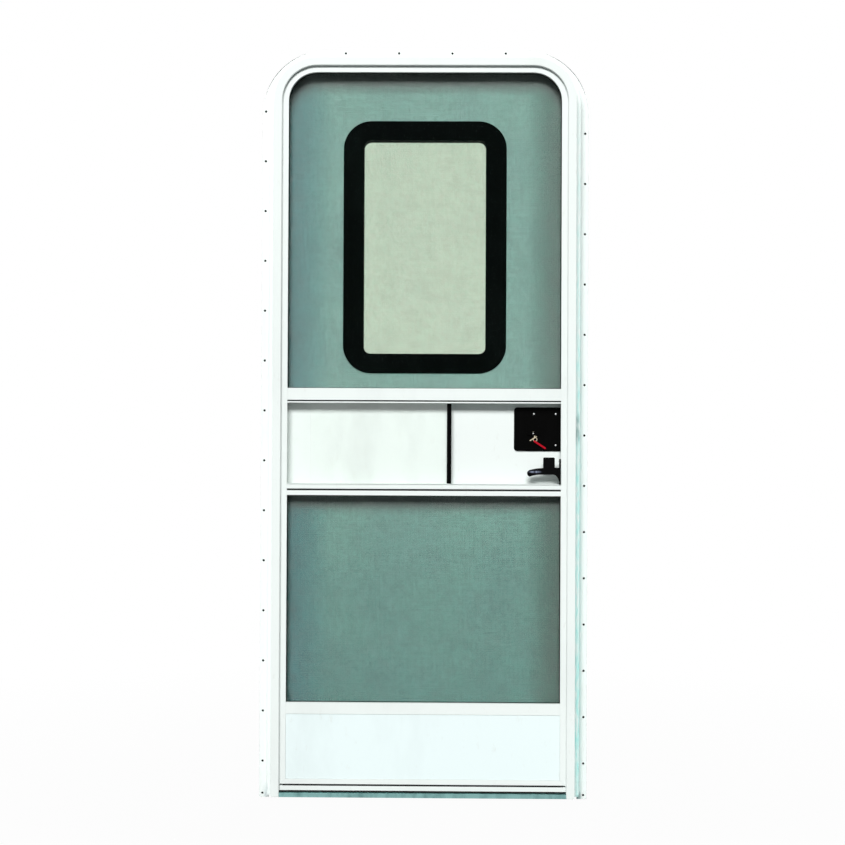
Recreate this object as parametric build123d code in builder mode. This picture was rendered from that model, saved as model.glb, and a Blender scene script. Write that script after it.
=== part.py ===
from build123d import *
import os

# Caravan entry door: a bent aluminium jamb, an entry door and a screen door with a sliding hatch.
# X runs along the doorway, Y points out of the caravan and Z points up, in millimetres.
# The origin is on the mounting face of the flange, in the middle of the head.

# Jamb section, as insets from the outer edge of the flange
overall_width = 818
overall_height = 1874
wall = 2.5
flange_width = 22
flange_corner_radius = 163
bend_centre_inset = 141
head_flange_less = 3.5
flange_foot_drop = 12
stop_width = 12
lip_width = 18.5
lip_bevel = 2
edge_gap = 5.5

# Depths, measured out of the caravan from the mounting face
door_outer_y = 8
door_thickness = 29
bulb_gap = 6.5
door_to_screen = 8
screen_depth = 18
pile_gap = 5

# Flange screw holes
flange_hole_radius = 2.9
flange_hole_inset = 8
foot_hole_height = 10
side_hole_count = 14
hinge_side_hole_first = 78
hinge_side_head_gap = 155
lock_side_hole_first = 76.5
lock_side_head_gap = 209.5
close_hole_count = 6
close_hole_pitch = 115.5
head_hole_pitch = 134
head_hole_count = 4

# Threshold
threshold_base = 3
threshold_upstand = 10.8
threshold_nose = 6

# Seals and strike plates
seal_clearance = 0.3
bulb_seal_width = 8
pile_seal_width = 5
strike_thickness = 1
screen_strike_height = 52
screen_strike_width = 12
latch_strike_height = 90
latch_strike_width = 16
bolt_slot_height = 34
bolt_slot_width = 9

# Hinges: one pin carries a jamb leaf, an entry door leaf and a screen leaf
hinge_height = 90
hinge_holes_below = (1.5, 7.5, 12.5)
hinge_names = ("bottom", "middle", "top")
pin_radius = 3
pin_clearance = 0.05
knuckle_radius = 5.5
knuckle_gap = 0.5
outer_knuckle = 15
door_knuckle = 14.5
pin_inset = 19
pin_over_flange = 8
leaf_thickness = 2
neck_thickness = 1.5
neck_over_stop = 1.5
leaf_margin = 1
seal_notch_clearance = 4

# Screen door
screen_foot_height = 15.8
stile_width = 28
fin_width = 8
fin_depth = 10
kick_rail_low = 204
kick_rail_height = 28.5
slider_low_rail_low = 745
slider_low_rail_height = 29
hatch_opening = 200
slider_top_rail_height = 36.5
rail_line_width = 4.6
rail_line_depth = 10
top_rail_line_width = 3.6
top_rail_line_depth = 6
bottom_rail_line_drop = 12.4
low_rail_line_drop = 12.7
top_rail_line_drop = 29.5
track_lip = 1
track_line_width = 1.4
track_line_depth = 3
kick_panel_thickness = 3
kick_face_gap = 0.2
kick_face_drop = 0.8
mesh_thickness = 0.4
mesh_lap = 6
spline_width = 5.5
spline_thickness = 3
panel_clearance = 0.3

# Sliding hatch
hatch_thickness = 2.5
hatch_outer_wall = 1.2
hatch_web = 1
hatch_groove_depth = 8
slider_tuck = 57
slider_length = 350
fixed_panel_lap = 8
pull_width = 11
pull_wall = 0.7
pull_grip = 1
pull_end_clearance = 1

# Screen latch
latch_over_rail = 0.5
latch_height = 62.5
latch_plate_thickness = 4.3
latch_inner_reach = 3.5
lever_thickness = 5.5
lug_thickness = 1.2
latch_side_gap = 0.3
latch_pivot_rise = 31.8
latch_pivot_in = 14
latch_pin_radius = 2.2
lug_radius = 9
lever_length = 69
lever_root_height = 16.4
lever_back_length = 40
lever_back_drop = 5
lever_nose_in = 5.6
lever_nose_drop = 11
lever_belly_length = 36
lever_belly_drop = 4.8
gusset_foot = 4
thumb_block_width = 28.7
thumb_block_height = 26.3
thumb_block_in = 1
thumb_block_radius = 3.3
lever_edge_round = 1.2

# Entry door
door_foot_height = 8.5
trim_width = 22
trim_thickness = 1.6
trim_web = 2
skin_thickness = 1.2

# Entry door window
window_drop = 498
glass_width = 305
glass_height = 533
glass_radius = 18
glass_thickness = 4
glass_clearance = 0.5
glass_y = -7
ring_wall = 3
ring_width = 407
ring_height = 630
ring_radius = 70
ring_thickness = 4
ring_bevel = 2

# Entry door lock
lock_edge_gap = 30
lock_width = 125
lock_height = 109
lock_low = 856
lock_plate_thickness = 3
lock_corner = 9
lock_edge = 1
thumb_turn_length = 30
thumb_turn_height = 9
thumb_turn_reach = 3.5
thumb_turn_in = 48
thumb_turn_rise = 39.5
tie_wire = 1.6
tie_bar_length = 20
tie_bar_width = 2.2
tie_bar_drop = 12.5
tie_bar_angle = 33
tie_loop_radius = 4.6
tie_loop_out = 4.5
tie_loop_drop = 14.7
tag_length = 36
tag_width = 4.6
tag_thickness = 2
tag_angle = -33
housing_width = 112
housing_height = 140
housing_reach = 9
housing_corner = 14
paddle_width = 78
paddle_height = 62
paddle_rise = 26
paddle_foot = 16
paddle_plate = 5
paddle_grip_gap = 9
cylinder_radius = 9
cylinder_reach = 4
cylinder_drop = 42
finger_recess_depth = 5
finger_recess_margin = 6
bolt_reach = 1.5
bolt_height = 26
bolt_width = 7

# Levels and insets worked out from the sizes above
head_z = flange_width / 2
flange_foot_z = head_z - overall_height
foot_z = flange_foot_z + flange_foot_drop
half_width = overall_width / 2
recess_inset = flange_width + wall
stop_inset = recess_inset + stop_width
lip_inset = stop_inset + lip_width
door_inset = recess_inset + edge_gap
screen_inset = stop_inset + edge_gap
rabbet_inset = screen_inset + stile_width - fin_width
fin_inset = screen_inset + stile_width
door_inner_y = door_outer_y - door_thickness
stop_y = door_inner_y - bulb_gap
screen_outer_y = door_inner_y - door_to_screen
screen_inner_y = screen_outer_y - screen_depth
fin_y = screen_inner_y + fin_depth
lip_y = screen_inner_y - pile_gap
side_hole_x = half_width - flange_hole_inset
jamb_height = overall_height - flange_foot_drop
hinge_side_run = jamb_height - hinge_side_hole_first - hinge_side_head_gap
hinge_side_hole_pitch = hinge_side_run / (side_hole_count - 1)
lock_side_run = jamb_height - lock_side_hole_first - lock_side_head_gap
wide_run = lock_side_run - close_hole_count * close_hole_pitch
wide_hole_pitch = wide_run / (side_hole_count - 1 - close_hole_count)
kick_rail_high = kick_rail_low + kick_rail_height
slider_low_rail_high = slider_low_rail_low + slider_low_rail_height
slider_top_rail_low = slider_low_rail_high + hatch_opening
slider_top_rail_high = slider_top_rail_low + slider_top_rail_height
slider_left = fin_inset - half_width + slider_tuck
slider_right = slider_left + slider_length
fixed_panel_right = slider_right - fixed_panel_lap
latch_low = slider_low_rail_high + latch_over_rail
latch_pivot_height = latch_low + latch_pivot_rise
lock_left = half_width - door_inset - lock_edge_gap - lock_width
thumb_turn_x = lock_left + thumb_turn_in
thumb_turn_low = lock_low + thumb_turn_rise
lock_middle = lock_low + lock_height / 2
pin_x = pin_inset - half_width
pin_y = wall + pin_over_flange
outer_skin_y = door_outer_y - trim_thickness
inner_skin_y = door_inner_y + trim_thickness

os.makedirs("parts", exist_ok=True)


def level(height):
    """Z of a height measured from the feet of the jamb."""
    return foot_z + height


def hinge_side_hole(count):
    """Height of a place along the holes of the hinge side, which are evenly spaced."""
    return hinge_side_hole_first + count * hinge_side_hole_pitch


def lock_side_hole(count):
    """Height of a place along the holes of the lock side, which are closer in the lower run."""
    close = min(count, close_hole_count)
    return lock_side_hole_first + close * close_hole_pitch + (count - close) * wide_hole_pitch


def depth_plane(y):
    """Upright sketch plane at depth y; extrusions from it run into the caravan."""
    return Plane.XZ.offset(-y)


def save(piece, name):
    piece.part.label = name
    export_step(piece.part, f"parts/{name}.step")


def arch(inset, foot, corner=None, mode=Mode.ADD):
    """Doorway outline with a flat foot and two round top corners, in an upright sketch."""
    radius = bend_centre_inset - inset if corner is None else corner
    side = half_width - inset
    top = head_z - inset + (head_flange_less if corner is None else 0)
    with BuildLine() as outline:
        Line((-side, foot), (-side, top - radius))
        CenterArc((radius - side, top - radius), radius, 90, 90)
        Line((radius - side, top), (side - radius, top))
        CenterArc((side - radius, top - radius), radius, 0, 90)
        Line((side, top - radius), (side, foot))
        Line((side, foot), (-side, foot))
    make_face(outline.edges(), mode=mode)


def rectangle(left, right, low, high, mode=Mode.ADD):
    """Rectangle between two sides and two levels of the current sketch."""
    with Locations(((left + right) / 2, (low + high) / 2)):
        Rectangle(right - left, high - low, mode=mode)


# Jamb: a stepped extrusion bent round the head, with its flange trimmed to a larger corner
with BuildPart() as jamb_frame:
    with BuildSketch(depth_plane(wall)):
        arch(0, flange_foot_z, flange_corner_radius)
        arch(recess_inset, flange_foot_z, mode=Mode.SUBTRACT)
        for count in range(side_hole_count):
            hinge_hole = (-side_hole_x, level(hinge_side_hole(count)))
            lock_hole = (side_hole_x, level(lock_side_hole(count)))
            with Locations(hinge_hole, lock_hole):
                Circle(flange_hole_radius, mode=Mode.SUBTRACT)
        with Locations((0, flange_foot_z + foot_hole_height)):
            with GridLocations(2 * side_hole_x, 1, 2, 1):
                Circle(flange_hole_radius, mode=Mode.SUBTRACT)
        with Locations((0, head_z - flange_hole_inset)):
            with GridLocations(head_hole_pitch, 1, head_hole_count, 1):
                Circle(flange_hole_radius, mode=Mode.SUBTRACT)
    extrude(amount=wall)
    with BuildSketch(depth_plane(wall)):
        arch(flange_width, foot_z)
        arch(recess_inset, foot_z, mode=Mode.SUBTRACT)
    extrude(amount=wall - stop_y)
    with BuildSketch(depth_plane(stop_y)):
        arch(flange_width, foot_z)
        arch(stop_inset, foot_z, mode=Mode.SUBTRACT)
    extrude(amount=wall)
    with BuildSketch(depth_plane(stop_y)):
        arch(stop_inset - wall, foot_z)
        arch(stop_inset, foot_z, mode=Mode.SUBTRACT)
    extrude(amount=stop_y - lip_y + wall)
    with BuildSketch(depth_plane(lip_y)):
        arch(stop_inset - wall, foot_z)
        arch(lip_inset, foot_z, mode=Mode.SUBTRACT)
    extrude(amount=wall)
    with BuildSketch(depth_plane(lip_y - wall)):
        arch(lip_inset - lip_bevel, foot_z - 2 * lip_bevel)
    extrude(amount=-lip_bevel, taper=45, mode=Mode.SUBTRACT)
save(jamb_frame, "jamb_frame")

# Threshold: a plank between the legs with an upstand on the living side and a low rib as a stop
with BuildPart() as threshold:
    with BuildSketch(Plane.YZ):
        rectangle(lip_y - wall, lip_y, foot_z, level(threshold_upstand))
        rectangle(lip_y - wall, stop_y, foot_z, level(threshold_base))
    extrude(amount=half_width - lip_inset, both=True)
    with BuildSketch(Plane.YZ):
        rectangle(lip_y, stop_y, foot_z, level(threshold_base))
        rectangle(stop_y - wall, stop_y, foot_z, level(threshold_upstand))
    extrude(amount=half_width - stop_inset, both=True)
    with BuildSketch(Plane.YZ):
        rectangle(stop_y, wall, foot_z, level(threshold_base))
        with BuildLine():
            Polyline(
                (wall, foot_z),
                (wall + threshold_nose, foot_z),
                (wall + threshold_nose, level(threshold_base / 2)),
                (wall, level(threshold_base)),
                close=True,
            )
        make_face()
    extrude(amount=half_width - recess_inset, both=True)
save(threshold, "threshold")

hinge_levels = [level(hinge_side_hole(holes)) for holes in hinge_holes_below]
screen_knuckle = hinge_height - 2 * outer_knuckle - 2 * door_knuckle - 4 * knuckle_gap
notch_half = screen_knuckle / 2 + seal_notch_clearance

# Bulb seal on the stop of the entry door, cut away where the screen leaves pass over the stop
with BuildPart() as jamb_bulb_seal:
    seal_inset = recess_inset + (stop_width - bulb_seal_width) / 2
    with BuildSketch(depth_plane(door_inner_y - seal_clearance)):
        arch(seal_inset, level(threshold_upstand))
        arch(seal_inset + bulb_seal_width, level(threshold_upstand), mode=Mode.SUBTRACT)
        for hinge_z in hinge_levels:
            notch_low = hinge_z - notch_half
            notch_high = hinge_z + notch_half
            rectangle(-half_width, lip_inset - half_width, notch_low, notch_high, Mode.SUBTRACT)
    extrude(amount=bulb_gap - seal_clearance)
save(jamb_bulb_seal, "jamb_bulb_seal")

# Pile seal on the lip, behind the screen door
with BuildPart() as jamb_pile_seal:
    pile_inset = (screen_inset + lip_inset - pile_seal_width) / 2
    with BuildSketch(depth_plane(screen_inner_y - seal_clearance)):
        arch(pile_inset, level(screen_foot_height))
        arch(pile_inset + pile_seal_width, level(screen_foot_height), mode=Mode.SUBTRACT)
    extrude(amount=pile_gap - seal_clearance)
save(jamb_pile_seal, "jamb_pile_seal")

# Strike plate of the entry door lock, on the wall of the recess
strike_y = (door_outer_y + door_inner_y) / 2
with BuildPart() as latch_strike_plate:
    with BuildSketch(Plane.YZ.offset(half_width - recess_inset - strike_thickness)):
        with Locations((strike_y, level(lock_middle))):
            Rectangle(latch_strike_width, latch_strike_height)
            SlotOverall(bolt_slot_height, bolt_slot_width, rotation=90, mode=Mode.SUBTRACT)
    extrude(amount=strike_thickness)
save(latch_strike_plate, "latch_strike_plate")

# Strike plate of the screen latch, on the wall beside the lip
with BuildPart() as screen_strike_plate:
    with BuildSketch(Plane.YZ.offset(half_width - stop_inset - strike_thickness)):
        with Locations(((screen_inner_y + screen_outer_y) / 2, level(latch_pivot_height))):
            Rectangle(screen_strike_width, screen_strike_height)
    extrude(amount=strike_thickness)
save(screen_strike_plate, "screen_strike_plate")



def knuckle(low, high, bore_radius):
    """Rolled knuckle round the hinge pin between two levels."""
    with BuildSketch(Plane.XY.offset(low)) as ring:
        with Locations((pin_x, pin_y)):
            Circle(knuckle_radius)
            if bore_radius:
                Circle(bore_radius, mode=Mode.SUBTRACT)
    extrude(ring.sketch, amount=high - low)


# Hinges: the jamb leaf sits on the flange, the door leaf on the trim of the entry door, and the
# screen leaf goes through the edge gap and over the stop to the outer face of the screen stile
pin_bore = pin_radius + pin_clearance
hinge_half = hinge_height / 2
door_knuckle_low = screen_knuckle / 2 + knuckle_gap
door_knuckle_high = door_knuckle_low + door_knuckle
jamb_knuckle_low = hinge_half - outer_knuckle
door_edge_x = door_inset - half_width
trim_edge_x = door_edge_x + trim_width
stile_edge_x = screen_inset - half_width
rabbet_edge_x = rabbet_inset - half_width
neck_x = (recess_inset + door_inset - neck_thickness) / 2 - half_width
neck_y = stop_y + neck_over_stop
for hinge_name, hinge_z in zip(hinge_names, hinge_levels):
    with BuildPart() as hinge_jamb_leaf:
        with BuildSketch(depth_plane(wall + leaf_thickness)):
            rectangle(
                leaf_margin - half_width,
                flange_width - half_width,
                hinge_z - hinge_half,
                hinge_z + hinge_half,
            )
        extrude(amount=leaf_thickness)
        for low in (hinge_z - hinge_half, hinge_z + jamb_knuckle_low):
            knuckle(low, low + outer_knuckle, None)
            with BuildSketch(Plane.XY.offset(low)):
                rectangle(pin_x - knuckle_radius, pin_x + knuckle_radius / 2, wall, pin_y)
            extrude(amount=outer_knuckle)
        with Locations((pin_x, pin_y, hinge_z)):
            Cylinder(pin_radius, hinge_height)
    save(hinge_jamb_leaf, f"hinge_jamb_leaf_{hinge_name}")

    with BuildPart() as hinge_door_leaf:
        with BuildSketch(depth_plane(door_outer_y + leaf_thickness)):
            rectangle(
                door_edge_x + leaf_margin,
                trim_edge_x - leaf_margin,
                hinge_z - door_knuckle_high,
                hinge_z + door_knuckle_high,
            )
            for low in (hinge_z - door_knuckle_high, hinge_z + door_knuckle_low):
                rectangle(pin_x + pin_bore, door_edge_x + leaf_margin, low, low + door_knuckle)
        extrude(amount=leaf_thickness)
        for low in (hinge_z - door_knuckle_high, hinge_z + door_knuckle_low):
            knuckle(low, low + door_knuckle, pin_bore)
            with Locations((pin_x, pin_y, low + door_knuckle / 2)):
                Cylinder(pin_bore, door_knuckle, mode=Mode.SUBTRACT)
    save(hinge_door_leaf, f"hinge_door_leaf_{hinge_name}")

    with BuildPart() as hinge_screen_leaf:
        with BuildSketch(Plane.XY.offset(hinge_z - screen_knuckle / 2)):
            rectangle(pin_x, neck_x + neck_thickness, pin_y - neck_thickness / 2, pin_y + neck_thickness / 2)
            rectangle(neck_x, neck_x + neck_thickness, neck_y, pin_y + neck_thickness / 2)
            rectangle(neck_x, stile_edge_x - leaf_margin, neck_y, neck_y + neck_thickness)
            rectangle(
                stile_edge_x - leaf_margin - neck_thickness,
                stile_edge_x - leaf_margin,
                screen_outer_y,
                neck_y + neck_thickness,
            )
            rectangle(
                stile_edge_x - leaf_margin - neck_thickness,
                rabbet_edge_x - leaf_margin,
                screen_outer_y,
                screen_outer_y + neck_thickness,
            )
        extrude(amount=screen_knuckle)
        knuckle(hinge_z - screen_knuckle / 2, hinge_z + screen_knuckle / 2, None)
        with Locations((pin_x, pin_y, hinge_z)):
            Cylinder(pin_bore, screen_knuckle, mode=Mode.SUBTRACT)
    save(hinge_screen_leaf, f"hinge_screen_leaf_{hinge_name}")

# Screen frame: two stiles and the head, bent from one extrusion, with mitred feet
screen_foot_z = level(screen_foot_height)
with BuildPart() as screen_frame:
    with BuildSketch(depth_plane(screen_outer_y)):
        arch(screen_inset, screen_foot_z)
        arch(rabbet_inset, screen_foot_z, mode=Mode.SUBTRACT)
    extrude(amount=screen_depth)
    with BuildSketch(depth_plane(fin_y)):
        arch(screen_inset, screen_foot_z)
        arch(fin_inset, screen_foot_z, mode=Mode.SUBTRACT)
    extrude(amount=fin_depth)
    with BuildSketch(depth_plane(screen_outer_y)):
        for side in (-1, 1):
            with BuildLine():
                Polyline(
                    (side * (half_width - screen_inset), screen_foot_z),
                    (side * (half_width - fin_inset), screen_foot_z),
                    (side * (half_width - fin_inset), screen_foot_z + stile_width),
                    close=True,
                )
            make_face()
    extrude(amount=screen_depth, mode=Mode.SUBTRACT)
save(screen_frame, "screen_frame")

# Bottom rail: the same extrusion, mitred into the stiles, with a line along its face
with BuildPart() as screen_bottom_rail:
    for plane_y, depth, inset in (
        (screen_outer_y, screen_depth, rabbet_inset),
        (fin_y, fin_depth, fin_inset),
    ):
        with BuildSketch(depth_plane(plane_y)):
            with BuildLine():
                Polyline(
                    (screen_inset - half_width, screen_foot_z),
                    (half_width - screen_inset, screen_foot_z),
                    (half_width - inset, screen_foot_z + inset - screen_inset),
                    (inset - half_width, screen_foot_z + inset - screen_inset),
                    close=True,
                )
            make_face()
        extrude(amount=depth)
    with BuildSketch(Plane.YZ):
        line_z = screen_foot_z + stile_width - bottom_rail_line_drop
        rectangle(screen_inner_y, screen_inner_y + rail_line_depth, line_z - rail_line_width, line_z)
    extrude(amount=half_width - screen_inset, both=True, mode=Mode.SUBTRACT)
save(screen_bottom_rail, "screen_bottom_rail")

# Grooves of the sliding hatch: an outer one for the fixed panel and an inner one for the slider
groove_width = hatch_thickness + 2 * panel_clearance
fixed_groove_y = screen_outer_y - hatch_outer_wall
slider_groove_y = fixed_groove_y - groove_width - hatch_web


def rail_blank(low, high):
    """Solid rail between the stiles, coped at its ends to fit round their fins."""
    with BuildSketch(Plane.YZ) as section:
        rectangle(screen_inner_y, screen_outer_y, level(low), level(high))
    extrude(section.sketch, amount=half_width - rabbet_inset, both=True)
    with BuildSketch(depth_plane(fin_y)) as cope:
        for side in (-1, 1):
            with Locations((side * (half_width - fin_inset + fin_width / 2), level((low + high) / 2))):
                Rectangle(fin_width, high - low)
    extrude(cope.sketch, amount=fin_depth, mode=Mode.SUBTRACT)


def cut_along(sections):
    """Cuts rectangles of the YZ plane along the whole rail."""
    with BuildSketch(Plane.YZ) as cut:
        for near_y, far_y, low, high in sections:
            rectangle(near_y, far_y, level(low), level(high))
    extrude(cut.sketch, amount=half_width, both=True, mode=Mode.SUBTRACT)


def hatch_grooves(low, high):
    """Sections of the two hatch grooves between two heights."""
    return [
        (fixed_groove_y - groove_width, fixed_groove_y, low, high),
        (slider_groove_y - groove_width, slider_groove_y, low, high),
    ]


def rail_line(top, width=rail_line_width, depth=rail_line_depth):
    """Section of a line that runs along the face of a rail."""
    return (screen_inner_y, screen_inner_y + depth, top - width, top)


with BuildPart() as kick_rail:
    rail_blank(kick_rail_low, kick_rail_high)
    cut_along([
        (fin_y, screen_outer_y, kick_rail_low, kick_rail_low + fin_width),
        (fin_y, screen_outer_y, kick_rail_high - fin_width, kick_rail_high),
    ])
save(kick_rail, "kick_rail")

with BuildPart() as slider_bottom_rail:
    rail_blank(slider_low_rail_low, slider_low_rail_high)
    cut_along([
        (fin_y, screen_outer_y, slider_low_rail_low, slider_low_rail_low + fin_width),
        rail_line(slider_low_rail_high - low_rail_line_drop),
        rail_line(slider_low_rail_high - track_lip, track_line_width, track_line_depth),
    ])
    cut_along(hatch_grooves(slider_low_rail_high - hatch_groove_depth, slider_low_rail_high))
save(slider_bottom_rail, "slider_bottom_rail")

with BuildPart() as slider_top_rail:
    rail_blank(slider_top_rail_low, slider_top_rail_high)
    cut_along([
        (fin_y, screen_outer_y, slider_top_rail_high - fin_width, slider_top_rail_high),
        rail_line(slider_top_rail_high - top_rail_line_drop, top_rail_line_width, top_rail_line_depth),
    ])
    cut_along(hatch_grooves(slider_top_rail_low, slider_top_rail_low + hatch_groove_depth))
save(slider_top_rail, "slider_top_rail")

# Kick panel, seated on the fins from outside, with a raised face that fills the space between them
bottom_rail_top = screen_foot_height + stile_width
panel_half = half_width - rabbet_inset - panel_clearance
with BuildPart() as kick_panel:
    with BuildSketch(depth_plane(fin_y + kick_panel_thickness)):
        rectangle(
            -panel_half,
            panel_half,
            level(bottom_rail_top - fin_width + panel_clearance),
            level(kick_rail_low + fin_width - panel_clearance),
        )
    extrude(amount=kick_panel_thickness)
    face_half = half_width - fin_inset - kick_face_gap
    with BuildSketch(depth_plane(fin_y)):
        rectangle(
            -face_half,
            face_half,
            level(bottom_rail_top + kick_face_gap),
            level(kick_rail_low - kick_face_gap),
        )
    extrude(amount=fin_depth - kick_face_drop)
save(kick_panel, "kick_panel")

# Fly screens and the splines that hold them on the fins
mesh_inset = fin_inset - mesh_lap
spline_inset = fin_inset - spline_width + mesh_lap / 4
mesh_y = fin_y + mesh_thickness
spline_y = mesh_y + spline_thickness
spline_lap = spline_inset - fin_inset
upper_mesh_foot = level(slider_top_rail_high)
with BuildPart() as upper_screen_mesh:
    with BuildSketch(depth_plane(mesh_y)):
        arch(mesh_inset, upper_mesh_foot - mesh_lap)
    extrude(amount=mesh_thickness)
save(upper_screen_mesh, "upper_screen_mesh")

with BuildPart() as upper_screen_spline:
    with BuildSketch(depth_plane(spline_y)):
        arch(spline_inset, upper_mesh_foot + spline_lap)
        arch(spline_inset + spline_width, upper_mesh_foot + spline_lap + spline_width, mode=Mode.SUBTRACT)
    extrude(amount=spline_thickness)
save(upper_screen_spline, "upper_screen_spline")

mesh_half = half_width - fin_inset
with BuildPart() as lower_screen_mesh:
    with BuildSketch(depth_plane(mesh_y)):
        rectangle(
            -mesh_half - mesh_lap,
            mesh_half + mesh_lap,
            level(kick_rail_high - mesh_lap),
            level(slider_low_rail_low + mesh_lap),
        )
    extrude(amount=mesh_thickness)
save(lower_screen_mesh, "lower_screen_mesh")

with BuildPart() as lower_screen_spline:
    with BuildSketch(depth_plane(spline_y)):
        for lap, mode in ((-spline_lap, Mode.ADD), (-spline_lap - spline_width, Mode.SUBTRACT)):
            rectangle(
                -mesh_half - lap,
                mesh_half + lap,
                level(kick_rail_high - lap),
                level(slider_low_rail_low + lap),
                mode,
            )
    extrude(amount=spline_thickness)
save(lower_screen_spline, "lower_screen_spline")

# Sliding hatch: a fixed clear panel, a sliding clear panel and its pull
groove_floor = level(slider_low_rail_high - hatch_groove_depth)
groove_roof = level(slider_top_rail_low + hatch_groove_depth)
with BuildPart() as fixed_hatch_panel:
    with BuildSketch(depth_plane(fixed_groove_y - panel_clearance)):
        rectangle(-panel_half, fixed_panel_right, groove_floor, groove_roof - panel_clearance)
    extrude(amount=hatch_thickness)
save(fixed_hatch_panel, "fixed_hatch_panel")

slider_y = slider_groove_y - panel_clearance
slider_end = slider_right - pull_grip
with BuildPart() as sliding_hatch_panel:
    with BuildSketch(depth_plane(slider_y)):
        rectangle(slider_left, slider_end, groove_floor + panel_clearance, groove_roof - pull_end_clearance)
    extrude(amount=hatch_thickness)
save(sliding_hatch_panel, "sliding_hatch_panel")

with BuildPart() as slider_pull:
    with BuildSketch(depth_plane(slider_y + pull_wall)):
        rectangle(
            slider_right - pull_width,
            slider_right,
            level(slider_low_rail_high) + pull_end_clearance,
            level(slider_top_rail_low) - pull_end_clearance,
        )
    extrude(amount=pull_wall + hatch_thickness + pull_grip)
    with BuildSketch(depth_plane(slider_y)):
        rectangle(slider_right - pull_width, slider_end, groove_floor, groove_roof)
    extrude(amount=hatch_thickness, mode=Mode.SUBTRACT)
save(slider_pull, "slider_pull")

# Screen latch: a base on the stile with two lugs, and a lever with a thumb block between them
latch_face_x = half_width - fin_inset
latch_plate_x = latch_face_x - latch_plate_thickness
latch_pivot_x = latch_face_x - latch_pivot_in
latch_pivot_z = level(latch_pivot_height)
latch_inner_y = screen_inner_y - latch_inner_reach
latch_depth = lever_thickness + 2 * (latch_side_gap + lug_thickness)
lever_y = latch_inner_y + lug_thickness + latch_side_gap + lever_thickness
with BuildPart() as screen_latch_base:
    with BuildSketch(depth_plane(latch_inner_y + latch_depth)):
        rectangle(latch_plate_x, latch_face_x, level(latch_low), level(latch_low + latch_height))
    extrude(amount=latch_depth)
    for lug_y in (latch_inner_y + latch_depth, latch_inner_y + lug_thickness):
        with BuildSketch(depth_plane(lug_y)):
            with BuildLine():
                lug_top = latch_pivot_z + lug_radius
                top = Line((latch_plate_x, lug_top), (latch_pivot_x, lug_top))
                nose = CenterArc((latch_pivot_x, latch_pivot_z), lug_radius, 90, 180)
                foot = (latch_plate_x, level(latch_low + gusset_foot))
                TangentArc(foot, nose @ 1, tangent=(0, 1))
                Line(foot, top @ 0)
            make_face()
        extrude(amount=lug_thickness)
    with BuildSketch(depth_plane(latch_inner_y + latch_depth)):
        with Locations((latch_pivot_x, latch_pivot_z)):
            Circle(latch_pin_radius)
    extrude(amount=latch_depth)
save(screen_latch_base, "screen_latch_base")

with BuildPart() as screen_latch_lever:
    with BuildSketch(depth_plane(lever_y)) as lever_side:
        lever_top = latch_pivot_z + lever_root_height / 2
        lever_low = latch_pivot_z - lever_root_height / 2
        tip_x = latch_pivot_x - lever_length
        with BuildLine():
            root = Line((latch_pivot_x, lever_low), (latch_pivot_x, lever_top))
            back = Line(root @ 1, (tip_x + lever_back_length, lever_top))
            nose = (tip_x + lever_nose_in, lever_top - lever_back_drop)
            chin = (tip_x + lever_nose_in, lever_low - lever_belly_drop)
            belly = (tip_x + lever_belly_length, lever_low)
            TangentArc(back @ 1, nose, tangent=(-1, 0))
            ThreePointArc(nose, (tip_x, lever_top - lever_nose_drop), chin)
            TangentArc(belly, chin, tangent=(-1, 0))
            Line(belly, root @ 0)
        make_face()
        with Locations((latch_pivot_x, latch_pivot_z)):
            Circle(lever_root_height / 2)
        block_right = latch_pivot_x - thumb_block_in
        block_left = block_right - thumb_block_width
        rectangle(block_left, block_right, latch_pivot_z, lever_top + thumb_block_height)
        fillet(lever_side.vertices().group_by(Axis.Y)[-1], thumb_block_radius)
        with Locations((latch_pivot_x, latch_pivot_z)):
            Circle(latch_pin_radius + pin_clearance, mode=Mode.SUBTRACT)
    extrude(amount=lever_thickness)
    shown_side = screen_latch_lever.faces().sort_by(Axis.Y)[0]
    fillet(shown_side.outer_wire().edges(), lever_edge_round)
save(screen_latch_lever, "screen_latch_lever")

# Entry door trim: a channel round the whole edge, with the bolt opening in its web
door_foot_z = level(door_foot_height)
door_middle_y = (door_outer_y + door_inner_y) / 2
with BuildPart() as door_edge_trim:
    with BuildSketch(depth_plane(door_outer_y)):
        arch(door_inset, door_foot_z)
        arch(door_inset + trim_web, door_foot_z + trim_web, mode=Mode.SUBTRACT)
    extrude(amount=door_thickness)
    for flange_y in (door_outer_y, inner_skin_y):
        with BuildSketch(depth_plane(flange_y)):
            arch(door_inset, door_foot_z)
            arch(door_inset + trim_width, door_foot_z + trim_width, mode=Mode.SUBTRACT)
        extrude(amount=trim_thickness)
    with BuildSketch(Plane.YZ.offset(half_width - door_inset - trim_web)):
        with Locations((door_middle_y, level(lock_middle))):
            Rectangle(bolt_width + 2 * panel_clearance, bolt_height + 2 * panel_clearance)
    extrude(amount=trim_web, mode=Mode.SUBTRACT)
save(door_edge_trim, "door_edge_trim")

# Entry door leaf: a foam core between two skins, with the window cut through all three
window_z = head_z - window_drop


def glass_outline(margin, mode=Mode.ADD):
    """Round-cornered outline that lies a margin outside the clear glass."""
    width = glass_width + 2 * margin
    height = glass_height + 2 * margin
    with Locations((0, window_z)):
        RectangleRounded(width, height, glass_radius + margin, mode=mode)


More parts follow.
